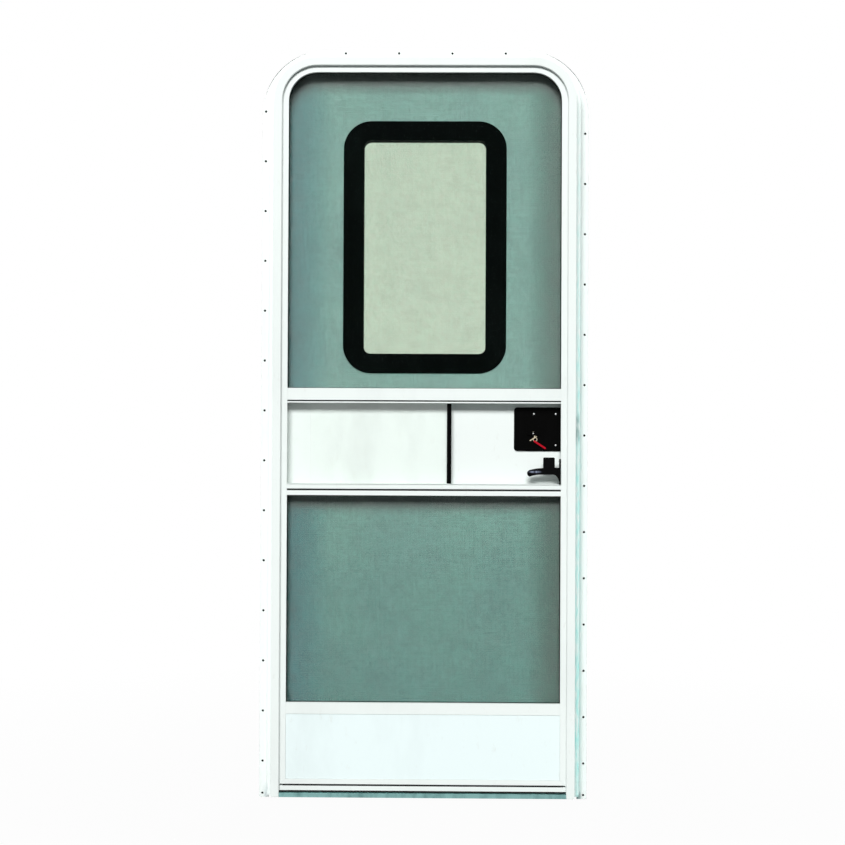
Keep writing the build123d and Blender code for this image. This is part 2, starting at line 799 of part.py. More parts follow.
door_layers = (
    ("door_outer_skin", outer_skin_y, skin_thickness),
    ("door_core", outer_skin_y - skin_thickness, outer_skin_y - inner_skin_y - 2 * skin_thickness),
    ("door_inner_skin", inner_skin_y + skin_thickness, skin_thickness),
)
for layer_name, layer_y, layer_thickness in door_layers:
    with BuildPart() as door_layer:
        with BuildSketch(depth_plane(layer_y)):
            arch(door_inset + trim_web, door_foot_z + trim_web)
            glass_outline(ring_wall + panel_clearance, Mode.SUBTRACT)
        extrude(amount=layer_thickness)
    save(door_layer, layer_name)

# Window: two clamping rings, each with a sleeve that reaches through the door to the glass
glass_outer_y = glass_y + glass_thickness / 2
glass_inner_y = glass_y - glass_thickness / 2
window_rings = (
    ("window_outer_ring", outer_skin_y + ring_thickness, outer_skin_y - glass_outer_y, 0),
    ("window_inner_ring", inner_skin_y, glass_inner_y - inner_skin_y, 1),
)
for ring_name, flange_y, sleeve_length, inner_side in window_rings:
    sleeve_y = glass_inner_y if inner_side else outer_skin_y
    with BuildPart() as window_ring:
        with BuildSketch(depth_plane(flange_y)):
            with Locations((0, window_z)):
                RectangleRounded(ring_width, ring_height, ring_radius)
        extrude(amount=ring_thickness)
        shown_face = window_ring.faces().sort_by(Axis.Y)[0 if inner_side else -1]
        chamfer(shown_face.edges(), ring_bevel)
        with BuildSketch(depth_plane(sleeve_y)):
            glass_outline(ring_wall)
        extrude(amount=sleeve_length)
        with BuildSketch(depth_plane(outer_skin_y + ring_thickness)):
            glass_outline(0)
        extrude(amount=outer_skin_y - inner_skin_y + 2 * ring_thickness, mode=Mode.SUBTRACT)
    save(window_ring, ring_name)

with BuildPart() as window_glass:
    with BuildSketch(depth_plane(glass_outer_y)):
        glass_outline(ring_wall - glass_clearance)
    extrude(amount=glass_thickness)
save(window_glass, "window_glass")

# Lock, living side: a flat plate, a thumb turn on a neck, and a knotted tie with a red tag on it
lock_x = lock_left + lock_width / 2
lock_z = level(lock_middle)
plate_y = inner_skin_y - lock_plate_thickness
with BuildPart() as lock_inner_plate:
    with BuildSketch(depth_plane(inner_skin_y)):
        with Locations((lock_x, lock_z)):
            RectangleRounded(lock_width, lock_height, lock_corner)
    extrude(amount=lock_plate_thickness)
    chamfer(lock_inner_plate.faces().sort_by(Axis.Y)[0].edges(), lock_edge)
save(lock_inner_plate, "lock_inner_plate")

turn_z = level(thumb_turn_low + thumb_turn_height / 2)
turn_neck = tie_wire + panel_clearance
with BuildPart() as lock_thumb_turn:
    with BuildSketch(depth_plane(plate_y)):
        with Locations((thumb_turn_x, turn_z)):
            Circle(thumb_turn_height / 3)
    extrude(amount=turn_neck)
    with BuildSketch(depth_plane(plate_y - turn_neck)):
        with Locations((thumb_turn_x, turn_z)):
            SlotOverall(thumb_turn_length, thumb_turn_height)
    extrude(amount=thumb_turn_reach - turn_neck)
save(lock_thumb_turn, "lock_thumb_turn")

tie_y = plate_y - panel_clearance / 2 - tie_wire / 2
neck_hole = thumb_turn_height / 3 + panel_clearance
loop_x = thumb_turn_x + tie_loop_out
loop_z = turn_z - tie_loop_drop
with BuildPart() as key_tie:
    with BuildSketch(depth_plane(tie_y + tie_wire / 2)):
        with Locations((loop_x, loop_z)):
            Circle(tie_loop_radius + tie_wire / 2)
            Circle(tie_loop_radius - tie_wire / 2, mode=Mode.SUBTRACT)
        with Locations(Location((thumb_turn_x, turn_z - tie_bar_drop, 0), (0, 0, tie_bar_angle))):
            Rectangle(tie_bar_length, tie_bar_width)
        with Locations((thumb_turn_x + neck_hole, turn_z - tie_bar_drop / 2)):
            Rectangle(tie_bar_width, tie_bar_drop)
        with Locations((thumb_turn_x, turn_z)):
            Circle(neck_hole + tie_wire)
            Circle(neck_hole, mode=Mode.SUBTRACT)
    extrude(amount=tie_wire)
save(key_tie, "key_tie")

with BuildPart() as red_tag:
    with BuildSketch(depth_plane(tie_y - tie_wire / 2 - panel_clearance)):
        with Locations(Location((loop_x - tie_wire, loop_z - tie_loop_radius, 0), (0, 0, tag_angle))):
            with Locations((tag_length / 2 - tag_width / 2, 0)):
                SlotOverall(tag_length, tag_width)
    extrude(amount=tag_thickness)
save(red_tag, "red_tag")

# Lock, outside: a housing with a finger recess, a pull paddle over it and a key cylinder
housing_y = outer_skin_y + housing_reach
with BuildPart() as lock_outer_housing:
    with BuildSketch(depth_plane(housing_y)):
        with Locations((lock_x, lock_z)):
            RectangleRounded(housing_width, housing_height, housing_corner)
    extrude(amount=housing_reach)
    chamfer(lock_outer_housing.faces().sort_by(Axis.Y)[-1].edges(), ring_bevel)
    with BuildSketch(depth_plane(housing_y)):
        recess_height = paddle_height - 2 * finger_recess_margin
        with Locations((lock_x - paddle_foot / 2 - finger_recess_margin, lock_z + paddle_rise)):
            RectangleRounded(paddle_width - paddle_foot, recess_height, lock_corner)
    extrude(amount=finger_recess_depth, mode=Mode.SUBTRACT)
save(lock_outer_housing, "lock_outer_housing")

with BuildPart() as lock_outer_paddle:
    with BuildSketch(depth_plane(housing_y + paddle_grip_gap)):
        with Locations((lock_x + (paddle_width - paddle_foot) / 2, lock_z + paddle_rise)):
            Rectangle(paddle_foot, paddle_height)
    extrude(amount=paddle_grip_gap)
    with BuildSketch(depth_plane(housing_y + paddle_grip_gap + paddle_plate)):
        with Locations((lock_x, lock_z + paddle_rise)):
            Rectangle(paddle_width, paddle_height)
    extrude(amount=paddle_plate)
    fillet(lock_outer_paddle.edges().filter_by(Axis.Y), lock_corner / 2)
    chamfer(lock_outer_paddle.faces().sort_by(Axis.Y)[-1].edges(), ring_bevel)
save(lock_outer_paddle, "lock_outer_paddle")

with BuildPart() as lock_key_cylinder:
    with BuildSketch(depth_plane(housing_y + cylinder_reach)):
        with Locations((lock_x, lock_z - cylinder_drop)):
            Circle(cylinder_radius)
    extrude(amount=cylinder_reach)
    chamfer(lock_key_cylinder.faces().sort_by(Axis.Y)[-1].edges(), lock_edge)
save(lock_key_cylinder, "lock_key_cylinder")

# Spring bolt in the edge of the entry door, drawn back
with BuildPart() as lock_bolt:
    with BuildSketch(Plane.YZ.offset(half_width - door_inset - trim_web)):
        with Locations((door_middle_y, lock_z)):
            Rectangle(bolt_width, bolt_height)
    extrude(amount=trim_web + bolt_reach)
    fillet(lock_bolt.faces().sort_by(Axis.X)[-1].edges().filter_by(Axis.Z), bolt_reach / 2)
save(lock_bolt, "lock_bolt")
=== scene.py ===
import math

import bmesh
import bpy
from mathutils import Matrix, Quaternion, Vector


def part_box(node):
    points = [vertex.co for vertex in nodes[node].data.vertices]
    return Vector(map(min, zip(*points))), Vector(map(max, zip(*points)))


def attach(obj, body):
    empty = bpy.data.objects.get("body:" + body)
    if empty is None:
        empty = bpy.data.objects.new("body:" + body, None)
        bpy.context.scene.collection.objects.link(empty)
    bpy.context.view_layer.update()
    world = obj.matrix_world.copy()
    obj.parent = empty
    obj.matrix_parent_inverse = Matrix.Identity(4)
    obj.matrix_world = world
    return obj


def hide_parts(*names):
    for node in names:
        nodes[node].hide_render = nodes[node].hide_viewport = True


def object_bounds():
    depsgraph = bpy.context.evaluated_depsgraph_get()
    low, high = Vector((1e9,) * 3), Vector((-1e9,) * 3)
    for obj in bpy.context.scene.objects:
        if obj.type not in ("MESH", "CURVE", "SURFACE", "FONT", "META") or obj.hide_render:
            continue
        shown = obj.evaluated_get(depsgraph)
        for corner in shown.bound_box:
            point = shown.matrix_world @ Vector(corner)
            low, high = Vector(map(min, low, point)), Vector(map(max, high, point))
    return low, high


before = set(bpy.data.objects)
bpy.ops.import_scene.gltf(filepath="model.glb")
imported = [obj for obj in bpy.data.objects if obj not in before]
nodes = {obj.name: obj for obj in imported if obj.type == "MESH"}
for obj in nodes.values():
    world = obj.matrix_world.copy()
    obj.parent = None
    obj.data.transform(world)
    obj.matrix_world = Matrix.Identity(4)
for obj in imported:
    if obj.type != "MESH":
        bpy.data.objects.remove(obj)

# Caravan entry door from the living side: finishes, fly mesh, seals and screws round the CAD nodes.
# X runs along the doorway, Y points out of the caravan and Z points up, in metres.

cad_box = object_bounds()
scene = bpy.context.scene
MM = 0.001
FLANGE_TOP = 11 * MM
HEAD_TOP = 14.5 * MM
FOOT = -1851 * MM
HALF_WIDTH = 409 * MM
BEND_INSET = 141 * MM
COVER_BEND = 156 * MM
BEND_STEPS = 14
SHARP_ANGLE = math.radians(35)
YARN_PITCH_ACROSS = 1.41 * MM
YARN_PITCH_DOWN = 1.59 * MM


def level(height):
    """Z of a height in millimetres above the foot of the jamb."""
    return FOOT + height * MM


# Shader helpers


def add_node(tree, kind, **values):
    """A new node with the named inputs set, where an underscore stands for a space."""
    node = tree.nodes.new(kind)
    for name, value in values.items():
        feed(tree, node.inputs[name.replace("_", " ")], value)
    return node


def feed(tree, socket, value):
    """Links a socket to another one, or sets its plain value."""
    if isinstance(value, bpy.types.NodeSocket):
        tree.links.new(value, socket)
    else:
        socket.default_value = value


def blend_colours(tree, mask, under, over, way="MIX"):
    """A colour that goes from under to over as the mask goes from 0 to 1, blended in the named way."""
    mixer = tree.nodes.new("ShaderNodeMix")
    mixer.data_type = "RGBA"
    mixer.blend_type = way
    mixer.clamp_result = True
    feed(tree, mixer.inputs[0], mask)
    feed(tree, mixer.inputs[6], under)
    feed(tree, mixer.inputs[7], over)
    return mixer.outputs[2]


def reckon(tree, operation, first, second=0, held=True):
    """One sum on two values, held between 0 and 1 unless said otherwise."""
    node = tree.nodes.new("ShaderNodeMath")
    node.operation = operation
    node.use_clamp = held
    feed(tree, node.inputs[0], first)
    feed(tree, node.inputs[1], second)
    return node.outputs[0]


def spread(tree, value, low, high, first, last):
    """Maps a value between low and high to the range from first to last."""
    node = add_node(
        tree,
        "ShaderNodeMapRange",
        Value=value,
        From_Min=low,
        From_Max=high,
        To_Min=first,
        To_Max=last,
    )
    return node.outputs["Result"]


def place_of(tree, scale=(1, 1, 1), turn=(0, 0, 0), move=(0, 0, 0)):
    """Object coordinates, scaled, turned and then moved."""
    coords = tree.nodes.new("ShaderNodeTexCoord")
    mapping = add_node(
        tree,
        "ShaderNodeMapping",
        Vector=coords.outputs["Object"],
        Scale=scale,
        Rotation=turn,
        Location=move,
    )
    return mapping.outputs["Vector"]


def noise(tree, scale, detail, place=None, **values):
    """The value of a soft noise on Object coordinates, or on another place."""
    if place is None:
        place = place_of(tree)
    node = add_node(tree, "ShaderNodeTexNoise", Vector=place, Scale=scale, Detail=detail, **values)
    return node.outputs["Fac"]


def mix_shaders(tree, share, first, second, output):
    """Sends a mix of two shaders to the output, with this share of the second one."""
    mixer = tree.nodes.new("ShaderNodeMixShader")
    feed(tree, mixer.inputs[0], share)
    tree.links.new(first.outputs[0], mixer.inputs[1])
    tree.links.new(second.outputs[0], mixer.inputs[2])
    tree.links.new(mixer.outputs["Shader"], output.inputs["Surface"])


def new_group(name, inputs, outputs):
    """A shader node group with its sockets, and its two end nodes."""
    group = bpy.data.node_groups.new(name, "ShaderNodeTree")
    for label, value in inputs.items():
        socket = group.interface.new_socket(label, in_out="INPUT", socket_type="NodeSocketFloat")
        socket.default_value = value
    for label, kind in outputs.items():
        group.interface.new_socket(label, in_out="OUTPUT", socket_type=kind)
    start = group.nodes.new("NodeGroupInput")
    end = group.nodes.new("NodeGroupOutput")
    return group, start, end


def use_group(tree, group, **values):
    """Places a node group in a material with its own values."""
    node = tree.nodes.new("ShaderNodeGroup")
    node.node_tree = group
    for name, value in values.items():
        feed(tree, node.inputs[name.replace("_", " ")], value)
    return node


# Effects that several finishes share


def make_soft_edges():
    """Rounded edges in the normal, and a broken mask along them."""
    group, start, end = new_group(
        "soft_edges",
        {"Radius": 0.7 * MM, "Break Up": 60},
        {"Normal": "NodeSocketVector", "Edge": "NodeSocketFloat"},
    )
    rounding = add_node(group, "ShaderNodeBevel", Radius=start.outputs["Radius"])
    rounding.samples = 4
    surface = group.nodes.new("ShaderNodeNewGeometry")
    turned = group.nodes.new("ShaderNodeVectorMath")
    turned.operation = "DOT_PRODUCT"
    group.links.new(rounding.outputs["Normal"], turned.inputs[0])
    group.links.new(surface.outputs["Normal"], turned.inputs[1])
    rim = spread(group, turned.outputs["Value"], 0.995, 0.8, 0, 1)
    patches = noise(group, start.outputs["Break Up"], 3)
    broken = spread(group, patches, 0.45, 0.65, 0, 1)
    group.links.new(rounding.outputs["Normal"], end.inputs["Normal"])
    group.links.new(reckon(group, "MULTIPLY", rim, broken), end.inputs["Edge"])
    return group


def make_settled_dust():
    """Soft patches of dust that run down the surface."""
    group, start, end = new_group(
        "settled_dust",
        {"Scale": 8, "Start": 0.5},
        {"Dust": "NodeSocketFloat"},
    )
    long_drift = place_of(group, scale=(1, 1, 0.4))
    cloud = noise(group, start.outputs["Scale"], 5, long_drift, Roughness=0.62)
    above = reckon(group, "SUBTRACT", cloud, start.outputs["Start"])
    group.links.new(reckon(group, "MULTIPLY", above, 5), end.inputs["Dust"])
    return group


def make_fine_grain():
    """The height of a fine even grain."""
    group, start, end = new_group("fine_grain", {"Scale": 900}, {"Height": "NodeSocketFloat"})
    group.links.new(noise(group, start.outputs["Scale"], 2), end.inputs["Height"])
    return group


def make_scratches():
    """Thin broken lines, as from wiping and handling."""
    group, start, end = new_group("scratches", {"Scale": 30}, {"Scratch": "NodeSocketFloat"})
    wiped = place_of(group, scale=(1, 1, 9), turn=(0, 0.3, 0))
    streak = noise(group, start.outputs["Scale"], 4, wiped)
    off_line = reckon(group, "SUBTRACT", streak, 0.5, held=False)
    width = reckon(group, "ABSOLUTE", off_line)
    group.links.new(spread(group, width, 0, 0.012, 1, 0), end.inputs["Scratch"])
    return group


soft_edges = make_soft_edges()
settled_dust = make_settled_dust()
fine_grain = make_fine_grain()
scratches = make_scratches()

# Finishes


def new_finish(name):
    """A material with one shader, and its node tree."""
    finish = bpy.data.materials.new(name)
    finish.use_nodes = True
    tree = finish.node_tree
    tree.nodes.clear()
    output = tree.nodes.new("ShaderNodeOutputMaterial")
    shader = tree.nodes.new("ShaderNodeBsdfPrincipled")
    tree.links.new(shader.outputs["BSDF"], output.inputs["Surface"])
    return finish, tree, shader, output


def rough_bump(tree, shader, height, depth, strength, edges):
    """Feeds the shader's normal with a bump over the rounded edges."""
    bump = add_node(
        tree,
        "ShaderNodeBump",
        Height=height,
        Strength=strength,
        Distance=depth,
        Normal=edges.outputs["Normal"],
    )
    tree.links.new(bump.outputs["Normal"], shader.inputs["Normal"])


def patch_mask(tree, centre, reach, strength):
    """A ragged patch round one place on the object, used for dirt, for painted shade and for a painted
    highlight.
    """
    scale = [1 / side for side in reach]
    move = [-middle * grow for middle, grow in zip(centre, scale)]
    ball = tree.nodes.new("ShaderNodeTexGradient")
    ball.gradient_type = "SPHERICAL"
    feed(tree, ball.inputs["Vector"], place_of(tree, scale=scale, move=move))
    ragged = noise(tree, 210, 4, place_of(tree, scale=(1, 1, 0.16)))
    torn = spread(tree, ragged, 0.3, 0.7, 0, strength)
    core = spread(tree, ball.outputs["Fac"], 0, 0.6, 0, 1)
    return reckon(tree, "MULTIPLY", core, torn)


def white_paint(name, base, dirt_and_shade_patches=()):
    """Gloss white paint on aluminium, with handling dust, worn edges and given patches of dirt and painted
    shade.
    """
    finish, tree, shader, _ = new_finish(name)
    edges = use_group(tree, soft_edges, Radius=0.8 * MM)
    dust = use_group(tree, settled_dust, Scale=5, Start=0.5)
    specks = use_group(tree, settled_dust, Scale=70, Start=0.62)
    grain = use_group(tree, fine_grain, Scale=700)
    dulled = [part * 0.93 for part in base[:3]] + [1]
    speck_brown = (0.52, 0.5, 0.44, 1)
    worn_edge = (0.6, 0.62, 0.62, 1)
    colour = blend_colours(tree, dust.outputs["Dust"], base, dulled)
    speck_share = reckon(tree, "MULTIPLY", specks.outputs["Dust"], 0.25)
    colour = blend_colours(tree, speck_share, colour, speck_brown)
    edge_share = reckon(tree, "MULTIPLY", edges.outputs["Edge"], 0.3)
    colour = blend_colours(tree, edge_share, colour, worn_edge)
    for centre, reach, strength, patch_colour in dirt_and_shade_patches:
        mask = patch_mask(tree, centre, reach, strength)
        colour = blend_colours(tree, mask, colour, patch_colour)
    tree.links.new(colour, shader.inputs["Base Color"])
    gloss = spread(tree, dust.outputs["Dust"], 0, 1, 0.3, 0.46)
    tree.links.new(gloss, shader.inputs["Roughness"])
    rough_bump(tree, shader, grain.outputs["Height"], 0.2 * MM, 0.08, edges)
    return finish


def dark_moulding(name, base, worn, rough, shine, grain_scale, painted_highlights=()):
    """Black moulded plastic or rubber with a fine grain, paler edges and given painted highlights."""
    finish, tree, shader, _ = new_finish(name)
    shader.inputs["Specular IOR Level"].default_value = shine
    edges = use_group(tree, soft_edges, Radius=0.6 * MM, Break_Up=90)
    dust = use_group(tree, settled_dust, Scale=22, Start=0.52)
    grain = use_group(tree, fine_grain, Scale=grain_scale)
    dust_share = reckon(tree, "MULTIPLY", dust.outputs["Dust"], 0.35)
    colour = blend_colours(tree, dust_share, base, worn)
    edge_share = reckon(tree, "MULTIPLY", edges.outputs["Edge"], 0.5)
    colour = blend_colours(tree, edge_share, colour, worn)
    for centre, reach, strength, highlight_colour in painted_highlights:
        mask = patch_mask(tree, centre, reach, strength)
        colour = blend_colours(tree, mask, colour, highlight_colour)
    tree.links.new(colour, shader.inputs["Base Color"])
    gloss = spread(tree, dust.outputs["Dust"], 0, 1, rough, rough + 0.15)
    tree.links.new(gloss, shader.inputs["Roughness"])
    rough_bump(tree, shader, grain.outputs["Height"], 0.15 * MM, 0.25, edges)
    return finish


def bare_metal(name, base, stained, rough, lay):
    """Bare metal with drawing lines along its length and a few stains."""
    finish, tree, shader, _ = new_finish(name)
    edges = use_group(tree, soft_edges, Radius=0.5 * MM)
    stains = use_group(tree, settled_dust, Scale=34, Start=0.46)
    lines = noise(tree, 60, 4, place_of(tree, scale=lay))
    colour = blend_colours(tree, stains.outputs["Dust"], base, stained)
    tree.links.new(colour, shader.inputs["Base Color"])
    shader.inputs["Metallic"].default_value = 1
    gloss = spread(tree, lines, 0.3, 0.7, rough - 0.06, rough + 0.12)
    tree.links.new(gloss, shader.inputs["Roughness"])
    rough_bump(tree, shader, lines, 0.1 * MM, 0.2, edges)
    return finish


def clear_sheet(name, tint, rough, index, scratch_scale, haze):
    """Clear sheet with wiping scratches, which lets lamp light through to what is behind it."""
    finish, tree, shader, output = new_finish(name)
    marks = use_group(tree, scratches, Scale=scratch_scale)
    film = use_group(tree, settled_dust, Scale=9, Start=0.48)
    grown = [part * 0.97 for part in tint[:3]] + [1]
    tree.links.new(blend_colours(tree, film.outputs["Dust"], tint, grown), shader.inputs["Base Color"])
    marked = reckon(tree, "MULTIPLY", marks.outputs["Scratch"], film.outputs["Dust"])
    tree.links.new(spread(tree, marked, 0, 1, rough, rough + haze), shader.inputs["Roughness"])
    shader.inputs["Transmission Weight"].default_value = 1
    shader.inputs["IOR"].default_value = index
    through = tree.nodes.new("ShaderNodeBsdfTransparent")
    through.inputs["Color"].default_value = tint
    path = tree.nodes.new("ShaderNodeLightPath")
    unseen = reckon(tree, "ADD", path.outputs["Is Shadow Ray"], path.outputs["Is Diffuse Ray"])
    mix_shaders(tree, unseen, shader, through, output)
    return finish


def painted_head_rail_shadow(tree, split):
    """A mask of painted shadow on a fly screen, under the bent head, along the stiles and under the rail.
    """
    head_drop = 30 * MM
    clean_reach = 63 * MM
    dark_reach = 82 * MM
    across = reckon(tree, "ABSOLUTE", split.outputs["X"])
    side = reckon(tree, "SUBTRACT", across, HALF_WIDTH - BEND_INSET)
    rise = reckon(tree, "SUBTRACT", split.outputs["Z"], HEAD_TOP - BEND_INSET - head_drop)
    side_square = reckon(tree, "MULTIPLY", side, side)
    rise_square = reckon(tree, "MULTIPLY", rise, rise)
    from_bend = reckon(tree, "ADD", side_square, rise_square)
    round_edge = spread(tree, from_bend, clean_reach**2, dark_reach**2, 0, 1)
    under_rail = spread(tree, split.outputs["Z"], level(709), level(732), 0, 1)
    lower_half = reckon(tree, "LESS_THAN", split.outputs["Z"], level(800))
    return reckon(tree, "ADD", round_edge, reckon(tree, "MULTIPLY", under_rail, lower_half))


def mesh_yarn(name, yarn, light_through, foot_light):
    """Coated glass yarn that lets green light through, with painted shade along the sides and under the
    head and the rail, and darker towards the foot.
    """
    finish, tree, shader, output = new_finish(name)
    shader.inputs["Roughness"].default_value = 0.8
    shader.inputs["Specular IOR Level"].default_value = 0.1
    dust = use_group(tree, settled_dust, Scale=11, Start=0.45)
    dusty_yarn = [part * 2.2 for part in yarn[:3]] + [1]
    colour = blend_colours(tree, dust.outputs["Dust"], yarn, dusty_yarn)
    tree.links.new(colour, shader.inputs["Base Color"])
    split = tree.nodes.new("ShaderNodeSeparateXYZ")
    tree.links.new(place_of(tree), split.inputs[0])
    foot_share = spread(tree, split.outputs["Z"], level(740), level(260), 0, 1)
    passed = blend_colours(tree, foot_share, light_through, foot_light)
    cool_patch = (0.1, 0.4, 0.5, 1)
    # Painted shade: bluish towards the hinge-side stile, greenish towards the lock-side stile
    hinge_side_shade_colour = (0.18, 0.665, 0.674, 1)
    lock_side_shade_colour = (0.15, 0.535, 0.444, 1)
    dense_thread = (0.19, 0.165, 0.17, 1)
    # Dark green of the painted shadow under the head and under the rail
    painted_shadow_tint = (0, 0.16, 0.09, 1)
    cool_share = spread(tree, noise(tree, 7, 4), 0.42, 0.62, 0, 0.06)
    passed = blend_colours(tree, cool_share, passed, cool_patch)
    # Painted shade: the light let through darkens towards each stile
    hinge_side_shade_share = spread(tree, split.outputs["X"], -235 * MM, -318 * MM, 0, 1)
    passed = blend_colours(tree, hinge_side_shade_share, passed, hinge_side_shade_colour)
    lock_side_shade_share = spread(tree, split.outputs["X"], 255 * MM, 318 * MM, 0, 1)
    passed = blend_colours(tree, lock_side_shade_share, passed, lock_side_shade_colour)
    warp = noise(tree, 230, 2, place_of(tree, scale=(1, 1, 0.22)))
    weft = noise(tree, 230, 2, place_of(tree, scale=(0.22, 1, 1)))
    thread_share = spread(tree, reckon(tree, "MULTIPLY", warp, weft), 0.17, 0.34, 0, 1)
    passed = blend_colours(tree, thread_share, passed, dense_thread, "SUBTRACT")
    # Painted shadow: the light let through turns dark under the head and under the rail
    passed = blend_colours(tree, painted_head_rail_shadow(tree, split), passed, painted_shadow_tint)
    through = add_node(tree, "ShaderNodeBsdfTransparent", Color=passed)
    solid_share = 0.2
    mix_shaders(tree, solid_share, through, shader, output)
    return finish


def pale_plastic(name, base, worn, rough, shine):
    """Plain coloured plastic with handling marks."""
    finish, tree, shader, _ = new_finish(name)
    shader.inputs["Specular IOR Level"].default_value = shine
    edges = use_group(tree, soft_edges, Radius=0.4 * MM, Break_Up=200)
    dust = use_group(tree, settled_dust, Scale=120, Start=0.45)
    grain = use_group(tree, fine_grain, Scale=1500)
    dust_share = reckon(tree, "MULTIPLY", dust.outputs["Dust"], 0.4)
    share = reckon(tree, "ADD", dust_share, edges.outputs["Edge"])
    tree.links.new(blend_colours(tree, share, base, worn), shader.inputs["Base Color"])
    gloss = spread(tree, dust.outputs["Dust"], 0, 1, rough, rough + 0.2)
    tree.links.new(gloss, shader.inputs["Roughness"])
    rough_bump(tree, shader, grain.outputs["Height"], 0.1 * MM, 0.2, edges)
    return finish


paint_white = (0.82, 0.875, 0.86, 1)
grey_dirt = (0.12, 0.17, 0.17, 1)
blue_dirt = (0.16, 0.27, 0.32, 1)
# Teal painted shade for the lock-side shoulder and flange root
teal_painted_shade = (0.28, 0.8, 0.75, 1)
# Each patch has its centre, its reach along the axes, its strength and its colour; the first is painted
# teal shade on the lock-side shoulder and flange root, the others are dirt
jamb_dirt_and_shade = (
    ((384 * MM, -18 * MM, level(300)), (15 * MM, 45 * MM, 1700 * MM), 0.8, teal_painted_shade),
    ((381 * MM, -32 * MM, level(912)), (9 * MM, 16 * MM, 48 * MM), 0.8, grey_dirt),
    ((-391 * MM, -20 * MM, level(2)), (13 * MM, 30 * MM, 38 * MM), 0.75, blue_dirt),
    ((388 * MM, -15 * MM, level(-4)), (12 * MM, 28 * MM, 16 * MM), 1, grey_dirt),
)
finishes = {
    "white_paint": white_paint("white_paint", paint_white),
    "mill_aluminium": bare_metal(
        "mill_aluminium",
        base=(0.42, 0.43, 0.43, 1),
        stained=(0.26, 0.27, 0.27, 1),
        rough=0.4,
        lay=(8, 8, 0.2),
    ),
    "steel": bare_metal(
        "steel",
        base=(0.62, 0.64, 0.65, 1),
        stained=(0.35, 0.34, 0.32, 1),
        rough=0.3,
        lay=(6, 6, 0.3),
    ),
    "seal_rubber": dark_moulding(
        "seal_rubber",
        base=(0.01, 0.01, 0.01, 1),
        worn=(0.03, 0.03, 0.03, 1),
        rough=0.62,
        shine=0.2,
        grain_scale=1200,
    ),
    "pile": dark_moulding(
        "pile",
        base=(0.16, 0.165, 0.165, 1),
        worn=(0.3, 0.3, 0.29, 1),
        rough=0.85,
        shine=0.2,
        grain_scale=2600,
    ),
    "fly_mesh": mesh_yarn(
        "fly_mesh",
        yarn=(0.006, 0.008, 0.0075, 1),
        light_through=(0.63, 0.89, 0.828, 1),
        foot_light=(0.445, 0.785, 0.734, 1),
    ),
    "clear_acrylic": clear_sheet(
        "clear_acrylic",
        tint=(0.99, 0.997, 0.991, 1),
        rough=0.015,
        index=1.38,
        scratch_scale=26,
        haze=0.25,
    ),
    "black_plastic": dark_moulding(
        "black_plastic",
        base=(0.0015, 0.0015, 0.0015, 1),
        worn=(0.004, 0.004, 0.0042, 1),
        rough=0.5,
        shine=0.012,
        grain_scale=1600,
    ),
    "foam": pale_plastic(
        "foam",
        base=(0.78, 0.76, 0.68, 1),
        worn=(0.6, 0.56, 0.46, 1),
        rough=0.8,
        shine=0.3,
    ),
    "window_glass": clear_sheet(
        "window_glass",
        tint=(0.98, 0.97, 0.8, 1),
        rough=0.01,
        index=1.49,
        scratch_scale=12,
        haze=0.12,
    ),
    "tie_plastic": pale_plastic(
        "tie_plastic",
        base=(0.58, 0.51, 0.37, 1),
        worn=(0.42, 0.35, 0.24, 1),
        rough=0.4,
        shine=0.4,
    ),
    "tag_plastic": pale_plastic(
        "tag_plastic",
        base=(0.42, 0.003, 0.014, 1),
        worn=(0.22, 0.002, 0.008, 1),
        rough=0.35,
        shine=0.12,
    ),
}
jamb_paint = white_paint("jamb_white_paint", paint_white, jamb_dirt_and_shade)
panel_paint = white_paint("panel_white_paint", (0.815, 0.92, 0.925, 1))
# The threshold's aluminium is darkened and tinted teal, which paints the sill's shade into its colour
shaded_threshold_metal = bare_metal(
    "shaded_threshold_metal",
    base=(0.19, 0.35, 0.34, 1),
    stained=(0.115, 0.23, 0.225, 1),
    rough=0.45,
    lay=(0.15, 8, 8),
)
# Painted highlight: a pale bluish patch on the nose of the latch lever
latch_painted_highlight = (
    (275 * MM, -51 * MM, level(805)),
    (20 * MM, 6 * MM, 3.6 * MM),
    1,
    (0.34, 0.39, 0.54, 1),
)
latch_gloss = dark_moulding(
    "latch_gloss",
    base=(0.0015, 0.0016, 0.0018, 1),
    worn=(0.005, 0.005, 0.006, 1),
    rough=0.24,
    shine=0.04,
    grain_scale=1600,
    painted_highlights=[latch_painted_highlight],
)
for node in nodes.values():
    slot_name = node.data.materials[0].name.split(".")[0]
    node.data.materials[0] = finishes[slot_name]
nodes["jamb_frame"].data.materials[0] = jamb_paint
nodes["threshold"].data.materials[0] = shaded_threshold_metal
nodes["kick_panel"].data.materials[0] = panel_paint
for latch_name in ("screen_latch_base", "screen_latch_lever"):
    nodes[latch_name].data.materials[0] = latch_gloss

# Pieces


def hand_over(shape, name, body, finish):
    """Turns a finished bmesh into a piece that rides on a body."""
    bmesh.ops.recalc_face_normals(shape, faces=shape.faces)
    mesh = bpy.data.meshes.new(name)
    shape.to_mesh(mesh)
    shape.free()
    mesh.materials.append(finish)
    mesh.shade_smooth()
    mesh.set_sharp_from_angle(angle=SHARP_ANGLE)
    piece = bpy.data.objects.new(name, mesh)
    scene.collection.objects.link(piece)
    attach(piece, body)
    return piece


def round_off(shape, edges, offset, segments):
    """Rounds the given edges."""
    bmesh.ops.bevel(
        shape,
        geom=edges,
        offset=offset,
        offset_type="OFFSET",
        segments=segments,
        profile=0.5,
        affect="EDGES",
        material=-1,
    )


